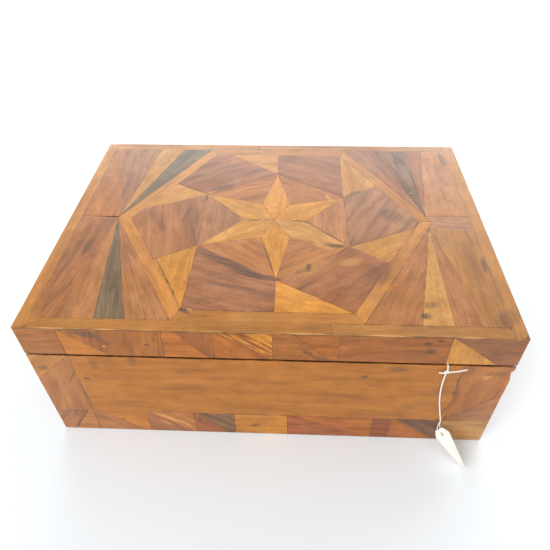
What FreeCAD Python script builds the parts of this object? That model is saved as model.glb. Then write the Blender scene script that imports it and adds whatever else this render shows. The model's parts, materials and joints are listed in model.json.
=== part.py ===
"""Inlaid wooden box: a pine carcass veneered all over in yew, olive, walnut and rosewood parquetry.

Millimetres, +Z up, origin under the middle of the box on the surface it stands on, front face towards -Y.
The lid turns on two butt hinges let into the back of the rims. A blank swing tag hangs from the gap in front.
"""

import FreeCAD, Part

import math
import os

os.makedirs("parts", exist_ok=True)

# ---------------------------------------------------------------- driving dimensions

WIDTH = 360.0  # along X
DEPTH = 258.0  # along Y
HEIGHT = 135.0
PARTING = 104.6  # height of the hinge axis, in the middle of the gap between base and lid
LID_GAP = 2.0
WALL = 12.0  # solid wood sides of base and lid
BOARD = 8.0  # bottom board and lid top
VENEER = 1.2
LINING = 1.0
FOOT_BAND = 30.0  # height of the parquetry band round the foot
SKIN_LIFT = 0.5  # the veneers stop this far above the surface that the box stands on

# hinges
PIVOT_INSET = 2.8  # hinge axis in front of the back face
OPENING_STOP = 100.0  # degrees: the bevelled back edges of base and lid meet here
HINGE_X = 112.0
HINGE_LENGTH = 42.0
KNUCKLE_R = 2.0
PIN_R = 1.0
PIN_CLEARANCE = 0.05
KNUCKLE_GAP = 0.25  # between knuckles, along the pin
LEAF_THICKNESS = 1.2
LEAF_GAP = 0.4  # between the two leaves when the lid is shut
LEAF_WIDTH = 9.8  # from the hinge axis to the leaf's free edge
SCREW_HEAD_R = 1.7
SCREW_SHANK_R = 0.9
SCREW_LENGTH = 7.0
HEAD_HEIGHT = 0.8

# lid parquetry
BORDER = 10.0  # strips round the lid's edge
HEXAGON_BAND = 10.0  # strips of the hexagon's frame
STAR_TIP_R = 72.0
STAR_NOTCH_R = 27.0
APEX_STRIP = 17.0  # width of the strip between the right-hand fans

# swing tag
STRING_R = 0.6
KNOT_R = 1.5
LOOP_R = 0.4
TAG_LENGTH = 35.0
TAG_WIDTH = 19.0
TAG_CLIP = 5.0
TAG_THICKNESS = 0.4
TAG_HOLE_R = 1.5
TAG_HOLE_INSET = 4.5

# ---------------------------------------------------------------- derived places

HALF_W = WIDTH / 2
HALF_D = DEPTH / 2
RIM = PARTING - LID_GAP / 2  # top of the base
LID_BOTTOM = PARTING + LID_GAP / 2
LID_SKIN = HEIGHT - VENEER  # underside of the lid's top veneers
LID_BOARD_Z = LID_SKIN - BOARD  # underside of the lid's top board
CORE_W = HALF_W - VENEER  # half the carcass, without its veneers
CORE_D = HALF_D - VENEER
IN_W = CORE_W - WALL  # half the space inside the walls
IN_D = CORE_D - WALL
PIVOT_Y = HALF_D - PIVOT_INSET
BEVEL = math.radians(OPENING_STOP / 2)  # each back edge's bevel from the parting plane

V = FreeCAD.Vector


# ---------------------------------------------------------------- helpers


def box(x0, x1, y0, y1, z0, z1):
    """A block between two corners."""
    return Part.makeBox(x1 - x0, y1 - y0, z1 - z0, V(x0, y0, z0))


def rod(radius, start, end):
    """A round bar from one point to another."""
    axis = end - start
    return Part.makeCylinder(radius, axis.Length, start, axis)


def plate(outline, thickness):
    """A flat piece: a closed outline of points pushed back by the thickness vector."""
    wire = Part.makePolygon(outline + outline[:1])
    return Part.Face(wire).extrude(thickness)


def one(shape):
    """The single solid of a fused or cut shape."""
    return shape.removeSplitter().Solids[0]


def save(node, pieces):
    """Writes one sub-part, of one or several separate solids."""
    solids = [s for p in pieces for s in p.Solids]
    for s in solids:
        if not s.isValid() or s.Volume <= 0:
            raise ValueError("bad solid in " + node)
    shape = solids[0] if len(solids) == 1 else Part.makeCompound(solids)
    shape.exportStep("parts/" + node + ".step")
    print(node, len(solids), "solids", round(shape.Volume, 1), "mm3")


# Each face of the box has its own flat coordinates: u to the right as it is looked at, v up.
FACES = {
    "top": (lambda u, v: V(u, v, HEIGHT), V(0, 0, -VENEER)),
    "front": (lambda u, v: V(u, -HALF_D, v), V(0, VENEER, 0)),
    "back": (lambda u, v: V(-u, HALF_D, v), V(0, -VENEER, 0)),
    "right": (lambda u, v: V(HALF_W, u, v), V(-VENEER, 0, 0)),
    "left": (lambda u, v: V(-HALF_W, -u, v), V(VENEER, 0, 0)),
}


def veneer(face, outline):
    """One piece of veneer on a face, from its outline in that face's coordinates."""
    place, inwards = FACES[face]
    return plate([place(u, v) for u, v in outline], inwards)


def strip_run(face, low, high, joints):
    """Pieces side by side between two heights. A joint is its place along the top and along the bottom."""
    pieces = []
    for (top_a, low_a), (top_b, low_b) in zip(joints, joints[1:]):
        outline = [(low_a, low), (low_b, low), (top_b, high), (top_a, high)]
        outline = [p for i, p in enumerate(outline) if p != outline[i - 1]]
        pieces.append(veneer(face, outline))
    return pieces


def scaled(joints, share):
    """The same joints on a face that is longer or shorter."""
    return [(top * share, low * share) for top, low in joints]


def mirrored(joints):
    """The same joints from the other end."""
    return [(-top, -low) for top, low in reversed(joints)]


# ---------------------------------------------------------------- back edge: bevels and hinge mortises


def back_wedge():
    """What the bevels take off the back edges of base and lid: a V with its foot on the hinge axis."""
    reach = PIVOT_INSET + 1
    rise = reach * math.tan(BEVEL)
    end = HALF_W + 1
    outline = [
        V(-end, PIVOT_Y, PARTING),
        V(-end, PIVOT_Y + reach, PARTING - rise),
        V(-end, PIVOT_Y + reach, PARTING + rise),
    ]
    return plate(outline, V(2 * end, 0, 0))


def hinge_room():
    """The mortises for both hinges: room round the knuckles, and a shallow bed for each leaf."""
    cuts = []
    for x in (-HINGE_X, HINGE_X):
        x0 = x - HINGE_LENGTH / 2 - KNUCKLE_GAP
        x1 = x + HINGE_LENGTH / 2 + KNUCKLE_GAP
        cuts.append(
            rod(KNUCKLE_R + 0.3, V(x0, PIVOT_Y, PARTING), V(x1, PIVOT_Y, PARTING))
        )
        bed = LEAF_GAP / 2 + LEAF_THICKNESS
        cuts.append(
            box(x0, x1, PIVOT_Y - LEAF_WIDTH - 0.1, PIVOT_Y, PARTING - bed, PARTING + bed)
        )
    return cuts


def screw_places():
    """Middle of each screw head, seen from above: two to a leaf."""
    spread = HINGE_LENGTH / 3
    y = PIVOT_Y - LEAF_WIDTH + 3.2
    return [(x + s, y) for x in (-HINGE_X, HINGE_X) for s in (-spread, spread)]


def screw(x, y, up):
    """A countersunk hinge screw whose head is flush with its leaf; up is +1 in the base and -1 in the lid."""
    face = PARTING - up * LEAF_GAP / 2
    head = Part.makeCone(
        SCREW_HEAD_R, SCREW_SHANK_R, HEAD_HEIGHT, V(x, y, face), V(0, 0, -up)
    )
    shank = rod(SCREW_SHANK_R, V(x, y, face), V(x, y, face - up * SCREW_LENGTH))
    slot = box(x - 2, x + 2, y - 0.2, y + 0.2, face - 0.3, face + 0.3)
    return one(head.fuse(shank).cut(slot))


def leaf(x, up):
    """One hinge leaf with its knuckles: the base's (up = -1) has the outer two, the lid's (up = 1) the middle one."""
    third = HINGE_LENGTH / 3
    x0, x1 = x - HINGE_LENGTH / 2, x + HINGE_LENGTH / 2
    outer = [(x0, x0 + third - KNUCKLE_GAP), (x1 - third + KNUCKLE_GAP, x1)]
    knuckles = outer if up < 0 else [(x0 + third, x1 - third)]
    near = PARTING + up * LEAF_GAP / 2
    far = PARTING + up * (LEAF_GAP / 2 + LEAF_THICKNESS)
    z0, z1 = min(near, far), max(near, far)
    clear = KNUCKLE_R + 0.3
    shape = box(x0, x1, PIVOT_Y - LEAF_WIDTH, PIVOT_Y - clear, z0, z1)
    for a, b in knuckles:
        shape = shape.fuse(box(a, b, PIVOT_Y - clear - 1, PIVOT_Y, z0, z1))
        shape = shape.fuse(rod(KNUCKLE_R, V(a, PIVOT_Y, PARTING), V(b, PIVOT_Y, PARTING)))
    bore = rod(
        PIN_R + PIN_CLEARANCE, V(x0 - 1, PIVOT_Y, PARTING), V(x1 + 1, PIVOT_Y, PARTING)
    )
    shape = shape.cut(bore)
    for sx, sy in screw_places():
        if abs(sx - x) < HINGE_LENGTH:
            shape = shape.cut(screw_tool(sx, sy, -up))
    return one(shape)


def screw_tool(x, y, up):
    """The room that a hinge screw takes out of leaf and wood."""
    face = PARTING - up * LEAF_GAP / 2
    head = Part.makeCone(
        SCREW_HEAD_R, SCREW_SHANK_R, HEAD_HEIGHT, V(x, y, face), V(0, 0, -up)
    )
    return head.fuse(rod(SCREW_SHANK_R, V(x, y, face), V(x, y, face - up * SCREW_LENGTH)))


WEDGE = back_wedge()
MORTISES = hinge_room()
BASE_SCREW_HOLES = [screw_tool(x, y, 1) for x, y in screw_places()]
LID_SCREW_HOLES = [screw_tool(x, y, -1) for x, y in screw_places()]


def back_cut(pieces, tools):
    """Cuts the same tools out of every piece that reaches the back edge."""
    done = []
    for piece in pieces:
        if piece.BoundBox.YMax > PIVOT_Y - LEAF_WIDTH - 1:
            for tool in tools:
                piece = piece.cut(tool)
        done.append(one(piece))
    return done


# ---------------------------------------------------------------- carcass


def base_carcass():
    """Front and back boards run the full width, the sides stand between them, the bottom fits inside."""
    back = box(-CORE_W, CORE_W, IN_D, CORE_D, 0, RIM)
    save("base_front_board", [box(-CORE_W, CORE_W, -CORE_D, -IN_D, 0, RIM)])
    save("base_back_board", back_cut([back], [WEDGE] + MORTISES + BASE_SCREW_HOLES))
    save("base_left_board", [box(-CORE_W, -IN_W, -IN_D, IN_D, 0, RIM)])
    save("base_right_board", [box(IN_W, CORE_W, -IN_D, IN_D, 0, RIM)])
    save("base_bottom_board", [box(-IN_W, IN_W, -IN_D, IN_D, 0, BOARD)])


def lid_carcass():
    """A top board over four rails."""
    rail_z = (LID_BOTTOM, LID_BOARD_Z)
    back = box(-CORE_W, CORE_W, IN_D, CORE_D, *rail_z)
    save(
        "lid_top_board",
        [box(-CORE_W, CORE_W, -CORE_D, CORE_D, LID_BOARD_Z, LID_SKIN)],
    )
    save("lid_front_rail", [box(-CORE_W, CORE_W, -CORE_D, -IN_D, *rail_z)])
    save("lid_back_rail", back_cut([back], [WEDGE] + MORTISES + LID_SCREW_HOLES))
    save("lid_left_rail", [box(-CORE_W, -IN_W, -IN_D, IN_D, *rail_z)])
    save("lid_right_rail", [box(IN_W, CORE_W, -IN_D, IN_D, *rail_z)])


def wall_lining(low, high):
    """Four lining panels against the inside of the walls."""
    deep = IN_D - LINING
    return [
        box(-IN_W, IN_W, -IN_D, -deep, low, high),
        box(-IN_W, IN_W, deep, IN_D, low, high),
        box(-IN_W, -IN_W + LINING, -deep, deep, low, high),
        box(IN_W - LINING, IN_W, -deep, deep, low, high),
    ]


def linings():
    """Cloth-covered card on the floor, the lid's ceiling and the walls."""
    floor_z = BOARD + LINING
    ceiling_z = LID_BOARD_Z - LINING
    save("base_floor_lining", [box(-IN_W, IN_W, -IN_D, IN_D, BOARD, floor_z)])
    save("base_wall_lining", wall_lining(floor_z, RIM - 1.0))
    save("lid_ceiling_lining", [box(-IN_W, IN_W, -IN_D, IN_D, ceiling_z, LID_BOARD_Z)])
    save("lid_wall_lining", wall_lining(LID_BOTTOM + 1.0, ceiling_z))


def hinges():
    """Two brass butt hinges, their pins and screws."""
    reach = HINGE_LENGTH / 2
    save("hinge_base_leaves", [leaf(x, -1) for x in (-HINGE_X, HINGE_X)])
    save("hinge_lid_leaves", [leaf(x, 1) for x in (-HINGE_X, HINGE_X)])
    save(
        "hinge_pins",
        [
            rod(PIN_R, V(x - reach, PIVOT_Y, PARTING), V(x + reach, PIVOT_Y, PARTING))
            for x in (-HINGE_X, HINGE_X)
        ],
    )
    save("hinge_base_screws", [screw(x, y, 1) for x, y in screw_places()])
    save("hinge_lid_screws", [screw(x, y, -1) for x, y in screw_places()])


# ---------------------------------------------------------------- lid top parquetry

FIELD_W = HALF_W - BORDER  # half the field inside the border strips
FIELD_D = HALF_D - BORDER
HEX_OUT = FIELD_D  # apothem of the hexagon frame: its long sides lie along the border
HEX_IN = HEX_OUT - HEXAGON_BAND
ROOT3 = math.sqrt(3)

# How far each hand-cut star point lies from its true place: tips at 30, 90 ... 330 degrees.
TIP_SHIFT = [(0, -1), (1, 1), (0, 1), (1, 0), (5, -4), (2, 1)]
# The notches between the points, at 0, 60 ... 300 degrees.
NOTCH_SHIFT = [(1, -2), (1, -1), (2, 0), (1, 0), (4, -1), (1, -1)]
# Where each light triangle ends on the hexagon's inner side, as a share of half that side.
TRIANGLE_REACH = [1.0, 0.75, 0.76, 1.0, 1.0, 0.84]


def polar(radius, degrees):
    """A point at a radius and an angle."""
    a = math.radians(degrees)
    return (radius * math.cos(a), radius * math.sin(a))


def shifted(point, shift):
    """A point moved by a small hand-cut error."""
    return (point[0] + shift[0], point[1] + shift[1])


def between(a, b, share):
    """The point a share of the way from a to b."""
    return (a[0] + (b[0] - a[0]) * share, a[1] + (b[1] - a[1]) * share)


TIPS = [shifted(polar(STAR_TIP_R, 30 + 60 * k), TIP_SHIFT[k]) for k in range(6)]
NOTCHES = [shifted(polar(STAR_NOTCH_R, 60 * k), NOTCH_SHIFT[k]) for k in range(6)]
CORNERS_IN = [polar(HEX_IN * 2 / ROOT3, 60 * k) for k in range(6)]
CORNERS_OUT = [polar(HEX_OUT * 2 / ROOT3, 60 * k) for k in range(6)]
# Where the line from each star tip meets the hexagon's inner side.
SIDE_MIDDLES = [
    shifted(polar(HEX_IN, 30 + 60 * k), (5, 0) if k == 4 else (0, 0)) for k in range(6)
]


def triangle_end(k):
    """The far corner of light triangle k, on the way round to the hexagon's next corner."""
    return between(SIDE_MIDDLES[k], CORNERS_IN[(k + 1) % 6], TRIANGLE_REACH[k])


def hexagon_parquetry():
    """The star, the triangles between its points, and the light and dark pieces out to the hexagon's frame."""
    centre = (0, 0)
    star, ground, light, dark, frame = [], [], [], [], []
    for k in range(6):
        after = (k + 1) % 6
        tip, next_tip, notch = TIPS[k], TIPS[after], NOTCHES[after]
        star.append(veneer("top", [centre, NOTCHES[k], tip, notch]))
        ground.append(veneer("top", [tip, next_tip, notch]))
        end = triangle_end(k)
        light.append(veneer("top", [tip, SIDE_MIDDLES[k], end]))
        outline = [tip, end, CORNERS_IN[after], SIDE_MIDDLES[after], next_tip]
        if TRIANGLE_REACH[k] == 1.0:
            outline.remove(end)
        dark.append(veneer("top", outline))
        frame.append(
            veneer(
                "top",
                [CORNERS_IN[k], CORNERS_OUT[k], CORNERS_OUT[after], CORNERS_IN[after]],
            )
        )
    save("lid_star", star)
    save("lid_star_ground", ground)
    save("lid_light_triangles", light)
    save("lid_dark_quarters", dark)
    save("lid_hexagon_band", frame)


def fan(apex, side, edge_xs, joint_y, more=()):
    """Triangles from one apex to the field's long edge, then a piece round the field's corner to the joint at joint_y.

    side is 1 at the back and -1 at the front. edge_xs run outwards from the hexagon's corner.
    more holds any further points of the last piece, between the joint and the apex.
    """
    edge = side * FIELD_D
    outer = math.copysign(FIELD_W, edge_xs[0])
    xs = [math.copysign(CORNERS_OUT[1][0], outer)] + edge_xs
    pieces = [
        veneer("top", [apex, (a, edge), (b, edge)]) for a, b in zip(xs, xs[1:])
    ]
    last = [apex, (xs[-1], edge), (outer, edge), (outer, joint_y)] + list(more)
    return pieces + [veneer("top", last)]


def hexagon_side_x(y):
    """X of the hexagon frame's slanted outer side, on the right, at a height y."""
    return CORNERS_OUT[0][0] - abs(y) / ROOT3


def fans():
    """The pieces from each end of the hexagon to the corners of the field."""
    corner = CORNERS_OUT[0][0]
    left_y = 1.5  # the left-hand joint lies a little behind the hexagon's corner
    left_apex = (-hexagon_side_x(left_y), left_y)
    cut = APEX_STRIP / 2
    right_x = hexagon_side_x(cut)
    save("lid_left_fan_back", fan(left_apex, 1, [-98, -122, -161], left_y))
    save(
        "lid_left_fan_front",
        fan((-corner, 0), -1, [-86, -102, -124, -152], left_y, [left_apex]),
    )
    save("lid_right_fan_back", fan((right_x, cut), 1, [99, 131, 146], cut))
    save("lid_right_fan_front", fan((right_x, -cut), -1, [109, 132, 155.5], -cut))
    strip = [(right_x, cut), (corner, 0), (right_x, -cut), (FIELD_W, -cut), (FIELD_W, cut)]
    save("lid_apex_strip", [veneer("top", strip)])


def border():
    """Six strips round the lid's edge: the long ones run through, and the front and back ones are each in two lengths."""
    front_joint, back_joint = 46.0, -20.0
    strips = [
        (-HALF_W, -FIELD_W, -HALF_D, HALF_D),
        (FIELD_W, HALF_W, -HALF_D, HALF_D),
        (-FIELD_W, front_joint, -HALF_D, -FIELD_D),
        (front_joint, FIELD_W, -HALF_D, -FIELD_D),
        (-FIELD_W, back_joint, FIELD_D, HALF_D),
        (back_joint, FIELD_W, FIELD_D, HALF_D),
    ]
    save(
        "lid_border_strips",
        [
            veneer("top", [(x0, y0), (x1, y0), (x1, y1), (x0, y1)])
            for x0, x1, y0, y1 in strips
        ],
    )


# ---------------------------------------------------------------- side faces

# Joints of the lid's facing, left to right: place along the top edge, place along the bottom edge.
LID_JOINTS = [
    (-180, -180),
    (-149, -149),
    (-149, -116),
    (-74, -75),
    (-64, -42),
    (-38, -38),
    (-34, 3),
    (4.6, 4.6),
    (20, 46),
    (51.5, 51.5),
    (129, 129),
    (131, 166),
    (180, 180),
]
# Joints of the foot band, in the same way.
FOOT_JOINTS = [
    (-180, -180),
    (-152, -170),
    (-148, -148),
    (-145, -106),
    (-103, -103),
    (-101.5, -66),
    (-63, -63),
    (-60, -35),
    (-29, -29),
    (15.6, 15.6),
    (18, 83),
    (86, 86),
    (101, 101),
    (105, 139),
    (143, 143),
    (180, 180),
]
PANEL_END = 148.0  # where the plain panel starts, from the middle of the front
PANEL_RIGHT = 143.5
CORNER_LIGHT = (30.0, 31.0)  # the light corner triangle: along the rim, and down the edge
CORNER_SLANT = (68.0, 34.0)  # heights where the right corner's slanted joint starts and ends


def corner_and_panel(face, half, left_end, right_end):
    """The main panel between two corner groups, between the foot band and the rim."""
    along, down = CORNER_LIGHT
    high, low = CORNER_SLANT
    panel = veneer(
        face,
        [(left_end, FOOT_BAND), (right_end, FOOT_BAND), (right_end, RIM), (left_end, RIM)],
    )
    light = veneer(face, [(-half, RIM), (-half, RIM - down), (-half + along, RIM)])
    left = veneer(
        face,
        [
            (-half, RIM - down),
            (-half, FOOT_BAND),
            (left_end, FOOT_BAND),
            (left_end, RIM),
            (-half + along, RIM),
        ],
    )
    upper = veneer(
        face, [(right_end, low), (half, high), (half, RIM), (right_end, RIM)]
    )
    lower = veneer(
        face, [(right_end, FOOT_BAND), (half, FOOT_BAND), (half, high), (right_end, low)]
    )
    return [panel], [light, left, upper, lower]


def fit_ends(joints, half):
    """Joints whose first and last are at the ends of the face."""
    return [(-half, -half)] + joints[1:-1] + [(half, half)]


def side_faces():
    """All four sides of lid and base. The side veneers stand between those of front and back."""
    side_half = HALF_D - VENEER
    ratio = side_half / HALF_W
    layouts = {
        "front": (HALF_W, LID_JOINTS, FOOT_JOINTS, -PANEL_END, PANEL_RIGHT),
        "back": (
            HALF_W,
            mirrored(LID_JOINTS),
            mirrored(FOOT_JOINTS),
            -PANEL_END,
            PANEL_RIGHT,
        ),
        "left": (
            side_half,
            thinned(scaled(mirrored(LID_JOINTS), ratio)),
            thinned(scaled(FOOT_JOINTS, ratio)),
            -side_half + 34,
            side_half - 36,
        ),
        "right": (
            side_half,
            thinned(scaled(LID_JOINTS, ratio)),
            thinned(scaled(mirrored(FOOT_JOINTS), ratio)),
            -side_half + 34,
            side_half - 36,
        ),
    }
    for face, (half, lid_joints, foot_joints, left_end, right_end) in layouts.items():
        facing = strip_run(face, LID_BOTTOM, LID_SKIN, fit_ends(lid_joints, half))
        foot = strip_run(face, SKIN_LIFT, FOOT_BAND, fit_ends(foot_joints, half))
        panel, corners = corner_and_panel(face, half, left_end, right_end)
        save("lid_" + face + "_facing", back_cut(facing, [WEDGE]))
        save("base_" + face + "_panel", back_cut(panel, [WEDGE]))
        save("base_" + face + "_corners", back_cut(corners, [WEDGE]))
        save("base_" + face + "_foot_band", foot)


def thinned(joints):
    """Leaves out the joints that would lie too close together on a shorter face."""
    kept = [joints[0]]
    for joint in joints[1:-1]:
        if joint[0] - kept[-1][0] + joint[1] - kept[-1][1] > 14:
            kept.append(joint)
    return kept + [joints[-1]]


# ---------------------------------------------------------------- swing tag

# The string: from its knot inside the box, over the base's rim, out of the gap and down the front.
STRING_ROUTE = [
    V(130.2, -113.6, 104.45),
    V(130.7, -119.6, 104.6),
    V(131.0, -125.2, 104.5),
    V(131.2, -130.7, 104.6),
    V(131.3, -130.7, 100.2),
    V(131.0, -130.4, 93.0),
    V(131.2, -130.2, 81.0),
    V(133.0, -130.2, 64.0),
    V(136.4, -130.6, 48.0),
    V(139.9, -131.6, 33.5),
]
TAIL_ENDS = [V(145.8, -130.4, 101.4), V(125.6, -130.6, 97.4)]
# The card: middle of its holed end, and its turn from lying along X.
TAG_END = V(140.5, -132.6, 22.5)
TAG_TURN = FreeCAD.Rotation(V(0, 0, 1), math.degrees(-0.971)).multiply(
    FreeCAD.Rotation(V(0, 1, 0), math.degrees(0.385)).multiply(
        FreeCAD.Rotation(V(1, 0, 0), math.degrees(1.785))
    )
)


def rounded_path(points):
    """Straight runs joined by the largest tangent arcs that they allow."""
    edges, start = [], points[0]
    for a, b, c in zip(points, points[1:], points[2:]):
        back, ahead = (a - b), (c - b)
        turn = math.pi - back.getAngle(ahead)
        radius = 0.45 * min(back.Length, ahead.Length) / math.tan(turn / 2)
        cut = 0.45 * min(back.Length, ahead.Length)
        back.normalize()
        ahead.normalize()
        first, last = b + back * cut, b + ahead * cut
        bisector = (back + ahead).normalize()
        middle = b + bisector * (radius / math.cos(turn / 2) - radius)
        edges.append(Part.LineSegment(start, first).toShape())
        edges.append(Part.Arc(first, middle, last).toShape())
        print("  string bend radius", round(radius, 1), "mm")
        start = last
    edges.append(Part.LineSegment(start, points[-1]).toShape())
    return Part.Wire(edges)


def tube(points, radius):
    """A round cord along rounded runs."""
    path = rounded_path(points)
    circle = Part.Wire(Part.makeCircle(radius, points[0], points[1] - points[0]))
    cord = path.makePipeShell([circle], True, False)
    print("  cord", round(path.Length, 1), "mm, volume by length",
          round(path.Length * math.pi * radius**2, 2), "by solid", round(cord.Volume, 2))
    return cord


def knot():
    """The knot just below the rim, with its two cut ends."""
    middle = V(131.2, -130.9, 98.4)
    shape = Part.makeSphere(KNOT_R, middle)
    for end in TAIL_ENDS:
        shape = shape.fuse(rod(STRING_R, middle, end))
    return one(shape)


def on_card(along, across, off):
    """A point of the tag: along it from the holed end, across it from the middle, off its face."""
    return TAG_END + TAG_TURN.multVec(V(along, across, off))


def card():
    """A card with clipped corners at its holed end."""
    half = TAG_WIDTH / 2
    outline = [
        (TAG_CLIP, -half),
        (TAG_LENGTH, -half),
        (TAG_LENGTH, half),
        (TAG_CLIP, half),
        (0, half - TAG_CLIP),
        (0, TAG_CLIP - half),
    ]
    back = -TAG_THICKNESS / 2
    points = [on_card(a, b, back) for a, b in outline]
    shape = plate(points, TAG_TURN.multVec(V(0, 0, TAG_THICKNESS)))
    hole = rod(TAG_HOLE_R, on_card(TAG_HOLE_INSET, 0, -2), on_card(TAG_HOLE_INSET, 0, 2))
    return one(shape.cut(hole))


def loop():
    """The thin loop from the end of the string through the card's hole and back."""
    top = STRING_ROUTE[-1]
    side = 1.0
    points = [
        top,
        on_card(-2.0, 0, side + 0.6),
        on_card(TAG_HOLE_INSET - 0.6, 0, side),
        on_card(TAG_HOLE_INSET + 0.2, 0, -side * 0.2),
        on_card(TAG_HOLE_INSET - 1.4, 0, -side - 0.2),
        on_card(-2.4, 0, -side - 0.8),
        top + V(0.3, 0.2, 0.6),
    ]
    return tube(points, LOOP_R)


def swing_tag():
    """A blank card on a cotton string that goes into the box through the gap."""
    save("tag_string", [tube(STRING_ROUTE, STRING_R)])
    save("tag_knot", [knot()])
    save("tag_stop_knot", [Part.makeSphere(KNOT_R, V(130.1, -112.4, 104.3))])
    save("tag_loop", [loop()])
    save("swing_tag", [card()])
    low = min(on_card(TAG_LENGTH, s * TAG_WIDTH / 2, 0).z for s in (-1, 1))
    print("  lowest corner of the tag", round(low, 2))


base_carcass()
lid_carcass()
linings()
hinges()
hexagon_parquetry()
fans()
border()
side_faces()
swing_tag()
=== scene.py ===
"""Looks of the inlaid wooden box: veneers of many woods under old shellac, and a tag on a cotton string.

Metres throughout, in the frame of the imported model. Every veneer and lining panel is built from the outline
that its CAD piece has; the string, its knots, its loop and the card follow the route of the CAD pieces.
"""

import json
import math
from functools import partial

import bpy
import numpy as np
from mathutils import Euler, Matrix, Vector


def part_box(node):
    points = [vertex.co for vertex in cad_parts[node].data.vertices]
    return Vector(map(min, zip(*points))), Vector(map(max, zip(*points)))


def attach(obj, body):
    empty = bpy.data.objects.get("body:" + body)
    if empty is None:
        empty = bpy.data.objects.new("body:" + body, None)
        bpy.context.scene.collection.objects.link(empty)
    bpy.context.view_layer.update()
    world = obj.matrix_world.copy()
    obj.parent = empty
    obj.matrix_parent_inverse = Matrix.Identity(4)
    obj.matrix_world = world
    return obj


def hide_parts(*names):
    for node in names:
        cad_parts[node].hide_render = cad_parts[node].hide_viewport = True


MM = 0.001
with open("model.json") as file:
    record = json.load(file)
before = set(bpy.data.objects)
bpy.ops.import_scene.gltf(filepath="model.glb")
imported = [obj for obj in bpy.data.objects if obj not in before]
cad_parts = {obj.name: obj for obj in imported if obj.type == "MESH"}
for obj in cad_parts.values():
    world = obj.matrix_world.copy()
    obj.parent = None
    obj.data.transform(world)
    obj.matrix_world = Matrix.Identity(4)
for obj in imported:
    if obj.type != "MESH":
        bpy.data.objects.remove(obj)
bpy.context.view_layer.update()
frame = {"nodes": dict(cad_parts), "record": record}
NODES = frame["nodes"]
HALF_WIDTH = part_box("lid_right_facing")[1][0]
HALF_DEPTH = -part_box("lid_front_facing")[0][1]
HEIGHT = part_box("lid_border_strips")[1][2]
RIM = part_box("base_front_board")[1][2]
LID_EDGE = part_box("lid_front_rail")[0][2]

# ---------------------------------------------------------------- camera


def camera():
    """Seen from above the front edge, a touch off square."""
    data = bpy.data.cameras.new("camera")
    data.lens = 33.64
    data.sensor_width = 36.0
    data.clip_start = 0.02
    seen_from = bpy.data.objects.new("camera", data)
    bpy.context.scene.collection.objects.link(seen_from)
    seen_from.location = (0.0198, -0.3591, 0.4077)
    seen_from.rotation_euler = Euler([math.radians(a) for a in (46.68, 0.75, 2.39)])
    bpy.context.scene.camera = seen_from


# ---------------------------------------------------------------- node and colour helpers


def linear(hex_colour):
    """An sRGB hex colour as linear RGBA."""
    parts = [int(hex_colour[i : i + 2], 16) / 255 for i in (1, 3, 5)]
    return tuple(c / 12.92 if c <= 0.04045 else ((c + 0.055) / 1.055) ** 2.4 for c in parts) + (1.0,)


SMOOTH = {"interpolation_type": "SMOOTHSTEP"}
PRODUCT = {"operation": "MULTIPLY"}
COLOURS = {"data_type": "RGBA"}


def add(tree, kind, inputs=(), stops=(), **settings):
    """Adds one node: its settings, its inputs by name or in order, and a ramp's stops.

    An input is a value, a socket, or a node, whose first output is then meant.
    """
    node = tree.nodes.new(kind if kind.startswith("Node") else "ShaderNode" + kind)
    for name, value in settings.items():
        setattr(node, name, value)
    for name, value in inputs.items() if isinstance(inputs, dict) else enumerate(inputs):
        if isinstance(value, bpy.types.Node):
            value = next(output for output in value.outputs if output.enabled)
        if isinstance(value, bpy.types.NodeSocket):
            tree.links.new(value, node.inputs[name])
        else:
            node.inputs[name].default_value = value
    for k, (place, colour) in enumerate(stops):
        elements = node.color_ramp.elements
        element = elements[k] if k < len(elements) else elements.new(1.0)
        element.position, element.color = place, colour
    return node


def new_material(name):
    """An empty node material, and the function that adds a node to it."""
    material = bpy.data.materials.new(name)
    material.use_nodes = True
    material.node_tree.nodes.clear()
    return material, partial(add, material.node_tree)


# ---------------------------------------------------------------- marks of age

# Knots, dark heartwood, open joints and stains of the lid's top, in millimetres and degrees:
# x, y, half length, half width, turn, strength.
TOP_DARK = [
    (-18, -1.0, 9, 0.8, 0, 0.8),
    (22, -1.6, 7, 0.9, -4, 0.9),
    (29, -2.6, 3.2, 1.6, -30, 0.95),
    (-2.2, -50, 25, 0.9, -74, 0.8),
    (3, -74, 8, 3, -20, 0.75),
    (-63.3, 31, 5.5, 1.1, 88, 0.95),
    (-60, -110, 5.5, 2.0, -30, 0.95),
    (53, -34, 10, 2.4, -4, 0.85),
    (58, -40, 9, 0.8, 48, 0.8),
    (66, -28, 8, 0.8, 64, 0.7),
    (30, -61, 5.5, 2.4, 80, 0.85),
    (24, -66, 6, 1.6, 20, 0.5),
    (165, 104, 14, 3.4, 92, 0.9),
    (167.5, -54, 11, 2.4, 88, 0.9),
    (163.5, -20, 14, 0.8, -84, 0.6),
    (113, -110, 4.5, 3.2, 0, 0.8),
    (118.5, -99, 6.5, 4, 20, 0.5),
    (-68, -8, 24, 3.2, 92, 0.5),
    (-77, 10, 18, 2.4, 84, 0.4),
    (-97, -10, 12, 4.5, -60, 0.6),
    (-34, -57, 32, 5, -27, 0.6),
    (-15, -70, 20, 3.8, -20, 0.8),
    (-45, -99, 14, 5, 8, 0.4),
    (-28, -84, 22, 2.2, -12, 0.5),
    (46.2, -18.5, 24, 0.8, -42.2, 0.85),
    (-50, 49, 14, 5, 22, 0.6),
    (-80, 66, 14, 3, 30, 0.35),
    (72, 41, 12, 3, 32, 0.6),
    (104, 8, 16, 9, -40, 0.5),
    (120, 62, 26, 4.5, 100, 0.5),
    (-78.2, -79.5, 34, 0.9, -61.6, 0.85),
    (-152, -40, 13, 3.5, 82, 0.55),
    (170, -110, 14, 8, 40, 0.5),
    (86, -66, 15, 13, 30, 0.4),
    (4, 74, 6, 3, 0, 0.5),
    (35, 62, 22, 2.5, -24, 0.3),
    (52, -90, 1.3, 1.0, 0, 0.7),
]
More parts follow.
